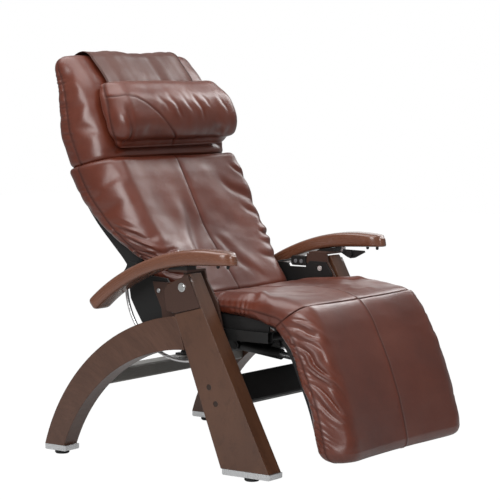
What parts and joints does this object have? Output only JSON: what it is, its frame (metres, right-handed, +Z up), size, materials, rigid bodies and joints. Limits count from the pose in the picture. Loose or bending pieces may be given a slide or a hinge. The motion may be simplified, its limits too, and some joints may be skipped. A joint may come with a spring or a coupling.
{
  "type": "zero-gravity massage recliner chair",
  "caption": "Leather recliner with leg rest, head pillow and curved armrests, tilting in an arched wooden base with two linear drives.",
  "frame": {"origin": "on the floor, under the middle of the bounding box", "axes": "+Z up, the sitter faces -Y, the sitter's left is +X"},
  "size_m": [0.81, 1.048, 1.1546],
  "materials": {
    "dark_wood": "satin stained",
    "arm_wood": "glossy stained",
    "upholstery": "soft leather over foam",
    "strap_leather": "soft leather",
    "black_steel": "satin black paint",
    "bronze_steel": "satin dark bronze paint",
    "chrome": "polished",
    "silver_steel": "brushed",
    "silver_alloy": "satin",
    "black_plastic": "fine grain",
    "grey_plastic": "glossy",
    "rubber": "matte"
  },
  "bodies": {
    "base": {"front_leg_left": "dark_wood", "front_leg_right": "dark_wood", "rear_leg_left": "dark_wood", "rear_leg_right": "dark_wood", "front_crossbeam": "dark_wood", "rear_crossbeam": "dark_wood", "pivot_cover_left": "bronze_steel", "pivot_cover_right": "bronze_steel", "foot_plates": "silver_alloy", "rubber_feet": "rubber", "beam_bolts": "silver_steel", "bolt_plugs": "dark_wood", "beam_dowels": "dark_wood", "main_axles": "silver_steel", "recline_drive_foot": "black_steel"},
    "recline_drive_housing": {"recline_drive_housing": "black_steel"},
    "recline_drive_rod": {"recline_drive_rod": "silver_steel"},
    "seat_frame": {"pivot_plate_left": "bronze_steel", "pivot_plate_right": "bronze_steel", "plate_screws": "silver_steel", "axle_bushes": "black_plastic", "hip_brackets": "black_steel", "seat_rails": "black_steel", "seat_cross_tubes": "black_steel", "seat_pan": "black_plastic", "hip_shell": "black_plastic", "chrome_hoops": "chrome", "seat_cushion": "upholstery", "recline_clevis": "black_steel", "leg_drive_hanger": "black_steel", "control_unit": "black_plastic", "arm_bracket_left": "bronze_steel", "arm_bracket_right": "bronze_steel", "arm_spacers": "black_plastic", "armrest_left": "arm_wood", "armrest_right": "arm_wood", "switch_box": "black_plastic", "switch_lead": "rubber", "lever_pivot": "silver_steel", "back_bars": "black_steel", "back_board": "black_plastic", "back_shell": "black_plastic", "massage_motors": "black_plastic", "back_cushion": "upholstery", "head_cushion": "upholstery", "head_pillow": "upholstery", "pillow_strap": "strap_leather"},
    "leg_rest": {"leg_hinges": "black_steel", "leg_board": "black_plastic", "leg_shell": "black_plastic", "leg_cushion": "upholstery"},
    "leg_drive_housing": {"leg_drive_housing": "black_steel"},
    "leg_drive_rod": {"leg_drive_rod": "silver_steel"},
    "arm_button_1": {"arm_button_1": "black_plastic"},
    "arm_button_2": {"arm_button_2": "black_plastic"},
    "arm_button_3": {"arm_button_3": "black_plastic"},
    "arm_button_4": {"arm_button_4": "black_plastic"},
    "panel_button_up": {"panel_button_up": "grey_plastic"},
    "panel_button_down": {"panel_button_down": "grey_plastic"},
    "lock_lever": {"lock_lever": "black_plastic"}
  },
  "joints": [
    {"name": "recline", "type": "hinge", "parent": "base", "child": "seat_frame", "pos_m": [0, -0.0215, 0.514], "axis": [-1, 0, 0], "range_deg": [0, 16]},
    {"name": "recline_drive_swing", "type": "hinge", "parent": "base", "child": "recline_drive_housing", "pos_m": [0, 0.3065, 0.274], "axis": [-1, 0, 0], "range_deg": [0, 0.45]},
    {"name": "recline_drive_slide", "type": "slide", "parent": "recline_drive_housing", "child": "recline_drive_rod", "axis": [0, -0.9942, 0.1078], "range_m": [0, 0.0572]},
    {"name": "leg_lift", "type": "hinge", "parent": "seat_frame", "child": "leg_rest", "pos_m": [0, -0.3355, 0.447], "axis": [-1, 0, 0], "range_deg": [0, 20]},
    {"name": "leg_drive_swing", "type": "hinge", "parent": "seat_frame", "child": "leg_drive_housing", "pos_m": [0, -0.0655, 0.34], "axis": [1, 0, 0], "range_deg": [0, 0.33]},
    {"name": "leg_drive_slide", "type": "slide", "parent": "leg_drive_housing", "child": "leg_drive_rod", "axis": [0, -0.9934, -0.1143], "range_m": [0, 0.0491]},
    {"name": "arm_button_1_press", "type": "slide", "parent": "seat_frame", "child": "arm_button_1", "axis": [0, 0, 1], "range_m": [0, 0.002], "stiffness_N_per_m": 400},
    {"name": "arm_button_2_press", "type": "slide", "parent": "seat_frame", "child": "arm_button_2", "axis": [0, 0, 1], "range_m": [0, 0.002], "stiffness_N_per_m": 400},
    {"name": "arm_button_3_press", "type": "slide", "parent": "seat_frame", "child": "arm_button_3", "axis": [0, 0, 1], "range_m": [0, 0.002], "stiffness_N_per_m": 400},
    {"name": "arm_button_4_press", "type": "slide", "parent": "seat_frame", "child": "arm_button_4", "axis": [0, 0, 1], "range_m": [0, 0.002], "stiffness_N_per_m": 400},
    {"name": "panel_button_up_press", "type": "slide", "parent": "seat_frame", "child": "panel_button_up", "axis": [1, 0, 0], "range_m": [0, 0.002], "stiffness_N_per_m": 400},
    {"name": "panel_button_down_press", "type": "slide", "parent": "seat_frame", "child": "panel_button_down", "axis": [1, 0, 0], "range_m": [0, 0.002], "stiffness_N_per_m": 400},
    {"name": "lock_lever_turn", "type": "hinge", "parent": "seat_frame", "child": "lock_lever", "pos_m": [0, -0.0655, 0.566], "axis": [1, 0, 0], "range_deg": [0, 25]}
  ],
  "couplings": [
    {"joint": "recline_drive_swing", "follows": "recline", "ratio": 0.026652},
    {"joint": "recline_drive_slide", "follows": "recline", "m_per_rad": 0.20315},
    {"joint": "leg_drive_swing", "follows": "leg_lift", "ratio": 0.015353},
    {"joint": "leg_drive_slide", "follows": "leg_lift", "m_per_rad": 0.13933}
  ]
}
